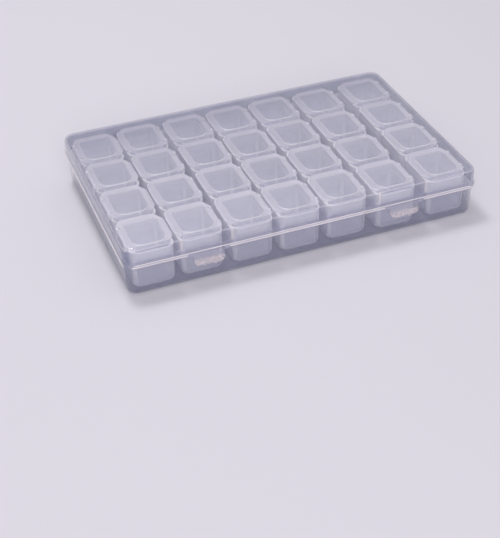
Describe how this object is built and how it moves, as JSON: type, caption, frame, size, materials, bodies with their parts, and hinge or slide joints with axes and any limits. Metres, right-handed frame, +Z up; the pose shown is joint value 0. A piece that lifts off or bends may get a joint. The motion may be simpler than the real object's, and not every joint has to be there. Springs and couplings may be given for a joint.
{
  "type": "compartment parts box",
  "caption": "Flat clear case with a hinged cover and two snap latches, holding lift-out strips of small cups that each have a flip lid.",
  "frame": {"origin": "middle of the tray's flat underside, without the hinges and the latches", "axes": "+X to the right seen from the latches, +Y to the hinges at the back, +Z up"},
  "size_m": [0.175, 0.1187, 0.025],
  "materials": {
    "tray_plastic": "clear, slightly milky moulded polypropylene",
    "cover_plastic": "clear, slightly milky moulded polypropylene",
    "latch_plastic": "milky moulded polypropylene",
    "strip_plastic": "frosted, see-through moulded polypropylene",
    "flip_lid_plastic": "frosted border with a smoother see-through panel"
  },
  "bodies": {
    "case_base": {"case_base": "tray_plastic"},
    "case_lid": {"case_lid": "cover_plastic"},
    "latch_left": {"latch_left": "latch_plastic"},
    "latch_right": {"latch_right": "latch_plastic"},
    "strip_1": {"strip_1": "strip_plastic"},
    "flip_lid_1_1": {"flip_lid_1_1": "flip_lid_plastic"},
    "flip_lid_1_2": {"flip_lid_1_2": "flip_lid_plastic"},
    "flip_lid_1_3": {"flip_lid_1_3": "flip_lid_plastic"},
    "flip_lid_1_4": {"flip_lid_1_4": "flip_lid_plastic"},
    "strip_2": {"strip_2": "strip_plastic"},
    "flip_lid_2_1": {"flip_lid_2_1": "flip_lid_plastic"},
    "flip_lid_2_2": {"flip_lid_2_2": "flip_lid_plastic"},
    "flip_lid_2_3": {"flip_lid_2_3": "flip_lid_plastic"},
    "flip_lid_2_4": {"flip_lid_2_4": "flip_lid_plastic"},
    "strip_3": {"strip_3": "strip_plastic"},
    "flip_lid_3_1": {"flip_lid_3_1": "flip_lid_plastic"},
    "flip_lid_3_2": {"flip_lid_3_2": "flip_lid_plastic"},
    "flip_lid_3_3": {"flip_lid_3_3": "flip_lid_plastic"},
    "flip_lid_3_4": {"flip_lid_3_4": "flip_lid_plastic"},
    "strip_4": {"strip_4": "strip_plastic"},
    "flip_lid_4_1": {"flip_lid_4_1": "flip_lid_plastic"},
    "flip_lid_4_2": {"flip_lid_4_2": "flip_lid_plastic"},
    "flip_lid_4_3": {"flip_lid_4_3": "flip_lid_plastic"},
    "flip_lid_4_4": {"flip_lid_4_4": "flip_lid_plastic"},
    "strip_5": {"strip_5": "strip_plastic"},
    "flip_lid_5_1": {"flip_lid_5_1": "flip_lid_plastic"},
    "flip_lid_5_2": {"flip_lid_5_2": "flip_lid_plastic"},
    "flip_lid_5_3": {"flip_lid_5_3": "flip_lid_plastic"},
    "flip_lid_5_4": {"flip_lid_5_4": "flip_lid_plastic"},
    "strip_6": {"strip_6": "strip_plastic"},
    "flip_lid_6_1": {"flip_lid_6_1": "flip_lid_plastic"},
    "flip_lid_6_2": {"flip_lid_6_2": "flip_lid_plastic"},
    "flip_lid_6_3": {"flip_lid_6_3": "flip_lid_plastic"},
    "flip_lid_6_4": {"flip_lid_6_4": "flip_lid_plastic"},
    "strip_7": {"strip_7": "strip_plastic"},
    "flip_lid_7_1": {"flip_lid_7_1": "flip_lid_plastic"},
    "flip_lid_7_2": {"flip_lid_7_2": "flip_lid_plastic"},
    "flip_lid_7_3": {"flip_lid_7_3": "flip_lid_plastic"},
    "flip_lid_7_4": {"flip_lid_7_4": "flip_lid_plastic"}
  },
  "joints": [
    {"name": "case_hinge", "type": "hinge", "parent": "case_base", "child": "case_lid", "pos_m": [0, 0.0589, 0.01595], "axis": [-1, 0, 0], "range_deg": [0, 180]},
    {"name": "latch_left_pivot", "type": "hinge", "parent": "case_lid", "child": "latch_left", "pos_m": [-0.0483, -0.0563, 0.0153], "axis": [-1, 0, 0], "range_deg": [0, 80]},
    {"name": "latch_right_pivot", "type": "hinge", "parent": "case_lid", "child": "latch_right", "pos_m": [0.0483, -0.0563, 0.0153], "axis": [-1, 0, 0], "range_deg": [0, 80]},
    {"name": "strip_1_lift", "type": "slide", "parent": "case_base", "child": "strip_1", "axis": [0, 0, 1], "range_m": [0, 0.0096]},
    {"name": "flip_lid_1_1_hinge", "type": "hinge", "parent": "strip_1", "child": "flip_lid_1_1", "pos_m": [-0.08355, 0.03927, 0.0218], "axis": [0, -1, 0], "range_deg": [0, 90.5]},
    {"name": "flip_lid_1_2_hinge", "type": "hinge", "parent": "strip_1", "child": "flip_lid_1_2", "pos_m": [-0.08355, 0.01292, 0.0218], "axis": [0, -1, 0], "range_deg": [0, 90.5]},
    {"name": "flip_lid_1_3_hinge", "type": "hinge", "parent": "strip_1", "child": "flip_lid_1_3", "pos_m": [-0.08355, -0.01343, 0.0218], "axis": [0, -1, 0], "range_deg": [0, 90.5]},
    {"name": "flip_lid_1_4_hinge", "type": "hinge", "parent": "strip_1", "child": "flip_lid_1_4", "pos_m": [-0.08355, -0.03978, 0.0218], "axis": [0, -1, 0], "range_deg": [0, 90.5]},
    {"name": "strip_2_lift", "type": "slide", "parent": "case_base", "child": "strip_2", "axis": [0, 0, 1], "range_m": [0, 0.0096]},
    {"name": "flip_lid_2_1_hinge", "type": "hinge", "parent": "strip_2", "child": "flip_lid_2_1", "pos_m": [-0.03935, 0.04012, 0.0218], "axis": [0, 1, 0], "range_deg": [0, 90.5]},
    {"name": "flip_lid_2_2_hinge", "type": "hinge", "parent": "strip_2", "child": "flip_lid_2_2", "pos_m": [-0.03935, 0.01377, 0.0218], "axis": [0, 1, 0], "range_deg": [0, 90.5]},
    {"name": "flip_lid_2_3_hinge", "type": "hinge", "parent": "strip_2", "child": "flip_lid_2_3", "pos_m": [-0.03935, -0.01258, 0.0218], "axis": [0, 1, 0], "range_deg": [0, 90.5]},
    {"name": "flip_lid_2_4_hinge", "type": "hinge", "parent": "strip_2", "child": "flip_lid_2_4", "pos_m": [-0.03935, -0.03893, 0.0218], "axis": [0, 1, 0], "range_deg": [0, 90.5]},
    {"name": "strip_3_lift", "type": "slide", "parent": "case_base", "child": "strip_3", "axis": [0, 0, 1], "range_m": [0, 0.0096]},
    {"name": "flip_lid_3_1_hinge", "type": "hinge", "parent": "strip_3", "child": "flip_lid_3_1", "pos_m": [-0.01504, 0.04012, 0.0218], "axis": [0, 1, 0], "range_deg": [0, 90.5]},
    {"name": "flip_lid_3_2_hinge", "type": "hinge", "parent": "strip_3", "child": "flip_lid_3_2", "pos_m": [-0.01504, 0.01377, 0.0218], "axis": [0, 1, 0], "range_deg": [0, 90.5]},
    {"name": "flip_lid_3_3_hinge", "type": "hinge", "parent": "strip_3", "child": "flip_lid_3_3", "pos_m": [-0.01504, -0.01258, 0.0218], "axis": [0, 1, 0], "range_deg": [0, 90.5]},
    {"name": "flip_lid_3_4_hinge", "type": "hinge", "parent": "strip_3", "child": "flip_lid_3_4", "pos_m": [-0.01504, -0.03893, 0.0218], "axis": [0, 1, 0], "range_deg": [0, 90.5]},
    {"name": "strip_4_lift", "type": "slide", "parent": "case_base", "child": "strip_4", "axis": [0, 0, 1], "range_m": [0, 0.0096]},
    {"name": "flip_lid_4_1_hinge", "type": "hinge", "parent": "strip_4", "child": "flip_lid_4_1", "pos_m": [0.00824, 0.03999, 0.0218], "axis": [0, 1, 0], "range_deg": [0, 90.5]},
    {"name": "flip_lid_4_2_hinge", "type": "hinge", "parent": "strip_4", "child": "flip_lid_4_2", "pos_m": [0.00824, 0.01364, 0.0218], "axis": [0, 1, 0], "range_deg": [0, 90.5]},
    {"name": "flip_lid_4_3_hinge", "type": "hinge", "parent": "strip_4", "child": "flip_lid_4_3", "pos_m": [0.00824, -0.01271, 0.0218], "axis": [0, 1, 0], "range_deg": [0, 90.5]},
    {"name": "flip_lid_4_4_hinge", "type": "hinge", "parent": "strip_4", "child": "flip_lid_4_4", "pos_m": [0.00824, -0.03906, 0.0218], "axis": [0, 1, 0], "range_deg": [0, 90.5]},
    {"name": "strip_5_lift", "type": "slide", "parent": "case_base", "child": "strip_5", "axis": [0, 0, 1], "range_m": [0, 0.0096]},
    {"name": "flip_lid_5_1_hinge", "type": "hinge", "parent": "strip_5", "child": "flip_lid_5_1", "pos_m": [0.03194, 0.04025, 0.0218], "axis": [0, 1, 0], "range_deg": [0, 90.5]},
    {"name": "flip_lid_5_2_hinge", "type": "hinge", "parent": "strip_5", "child": "flip_lid_5_2", "pos_m": [0.03194, 0.01389, 0.0218], "axis": [0, 1, 0], "range_deg": [0, 90.5]},
    {"name": "flip_lid_5_3_hinge", "type": "hinge", "parent": "strip_5", "child": "flip_lid_5_3", "pos_m": [0.03194, -0.01246, 0.0218], "axis": [0, 1, 0], "range_deg": [0, 90.5]},
    {"name": "flip_lid_5_4_hinge", "type": "hinge", "parent": "strip_5", "child": "flip_lid_5_4", "pos_m": [0.03194, -0.0388, 0.0218], "axis": [0, 1, 0], "range_deg": [0, 90.5]},
    {"name": "strip_6_lift", "type": "slide", "parent": "case_base", "child": "strip_6", "axis": [0, 0, 1], "range_m": [0, 0.0096]},
    {"name": "flip_lid_6_1_hinge", "type": "hinge", "parent": "strip_6", "child": "flip_lid_6_1", "pos_m": [0.05655, 0.03931, 0.0218], "axis": [0, 1, 0], "range_deg": [0, 90.5]},
    {"name": "flip_lid_6_2_hinge", "type": "hinge", "parent": "strip_6", "child": "flip_lid_6_2", "pos_m": [0.05655, 0.01296, 0.0218], "axis": [0, 1, 0], "range_deg": [0, 90.5]},
    {"name": "flip_lid_6_3_hinge", "type": "hinge", "parent": "strip_6", "child": "flip_lid_6_3", "pos_m": [0.05655, -0.01339, 0.0218], "axis": [0, 1, 0], "range_deg": [0, 90.5]},
    {"name": "flip_lid_6_4_hinge", "type": "hinge", "parent": "strip_6", "child": "flip_lid_6_4", "pos_m": [0.05655, -0.03974, 0.0218], "axis": [0, 1, 0], "range_deg": [0, 90.5]},
    {"name": "strip_7_lift", "type": "slide", "parent": "case_base", "child": "strip_7", "axis": [0, 0, 1], "range_m": [0, 0.0096]},
    {"name": "flip_lid_7_1_hinge", "type": "hinge", "parent": "strip_7", "child": "flip_lid_7_1", "pos_m": [0.08325, 0.03994, 0.0218], "axis": [0, 1, 0], "range_deg": [0, 90.5]},
    {"name": "flip_lid_7_2_hinge", "type": "hinge", "parent": "strip_7", "child": "flip_lid_7_2", "pos_m": [0.08325, 0.01359, 0.0218], "axis": [0, 1, 0], "range_deg": [0, 90.5]},
    {"name": "flip_lid_7_3_hinge", "type": "hinge", "parent": "strip_7", "child": "flip_lid_7_3", "pos_m": [0.08325, -0.01276, 0.0218], "axis": [0, 1, 0], "range_deg": [0, 90.5]},
    {"name": "flip_lid_7_4_hinge", "type": "hinge", "parent": "strip_7", "child": "flip_lid_7_4", "pos_m": [0.08325, -0.03911, 0.0218], "axis": [0, 1, 0], "range_deg": [0, 90.5]}
  ],
  "couplings": [
    {"joint": "strip_1_lift", "follows": "case_hinge", "m_per_rad": 0.003},
    {"joint": "flip_lid_1_1_hinge", "follows": "case_hinge", "ratio": 0.28},
    {"joint": "flip_lid_1_2_hinge", "follows": "case_hinge", "ratio": 0.5},
    {"joint": "flip_lid_1_3_hinge", "follows": "case_hinge", "ratio": 0.5},
    {"joint": "flip_lid_1_4_hinge", "follows": "case_hinge", "ratio": 0.5},
    {"joint": "strip_2_lift", "follows": "case_hinge", "m_per_rad": 0.003},
    {"joint": "flip_lid_2_1_hinge", "follows": "case_hinge", "ratio": 0.28},
    {"joint": "flip_lid_2_2_hinge", "follows": "case_hinge", "ratio": 0.5},
    {"joint": "flip_lid_2_3_hinge", "follows": "case_hinge", "ratio": 0.5},
    {"joint": "flip_lid_2_4_hinge", "follows": "case_hinge", "ratio": 0.5},
    {"joint": "strip_3_lift", "follows": "case_hinge", "m_per_rad": 0.003},
    {"joint": "flip_lid_3_1_hinge", "follows": "case_hinge", "ratio": 0.28},
    {"joint": "flip_lid_3_2_hinge", "follows": "case_hinge", "ratio": 0.5},
    {"joint": "flip_lid_3_3_hinge", "follows": "case_hinge", "ratio": 0.5},
    {"joint": "flip_lid_3_4_hinge", "follows": "case_hinge", "ratio": 0.5},
    {"joint": "strip_4_lift", "follows": "case_hinge", "m_per_rad": 0.003},
    {"joint": "flip_lid_4_1_hinge", "follows": "case_hinge", "ratio": 0.28},
    {"joint": "flip_lid_4_2_hinge", "follows": "case_hinge", "ratio": 0.5},
    {"joint": "flip_lid_4_3_hinge", "follows": "case_hinge", "ratio": 0.5},
    {"joint": "flip_lid_4_4_hinge", "follows": "case_hinge", "ratio": 0.5},
    {"joint": "strip_5_lift", "follows": "case_hinge", "m_per_rad": 0.003},
    {"joint": "flip_lid_5_1_hinge", "follows": "case_hinge", "ratio": 0.28},
    {"joint": "flip_lid_5_2_hinge", "follows": "case_hinge", "ratio": 0.5},
    {"joint": "flip_lid_5_3_hinge", "follows": "case_hinge", "ratio": 0.5},
    {"joint": "flip_lid_5_4_hinge", "follows": "case_hinge", "ratio": 0.5},
    {"joint": "strip_6_lift", "follows": "case_hinge", "m_per_rad": 0.003},
    {"joint": "flip_lid_6_1_hinge", "follows": "case_hinge", "ratio": 0.28},
    {"joint": "flip_lid_6_2_hinge", "follows": "case_hinge", "ratio": 0.5},
    {"joint": "flip_lid_6_3_hinge", "follows": "case_hinge", "ratio": 0.5},
    {"joint": "flip_lid_6_4_hinge", "follows": "case_hinge", "ratio": 0.5},
    {"joint": "strip_7_lift", "follows": "case_hinge", "m_per_rad": 0.003},
    {"joint": "flip_lid_7_1_hinge", "follows": "case_hinge", "ratio": 0.28},
    {"joint": "flip_lid_7_2_hinge", "follows": "case_hinge", "ratio": 0.5},
    {"joint": "flip_lid_7_3_hinge", "follows": "case_hinge", "ratio": 0.5},
    {"joint": "flip_lid_7_4_hinge", "follows": "case_hinge", "ratio": 0.5}
  ]
}
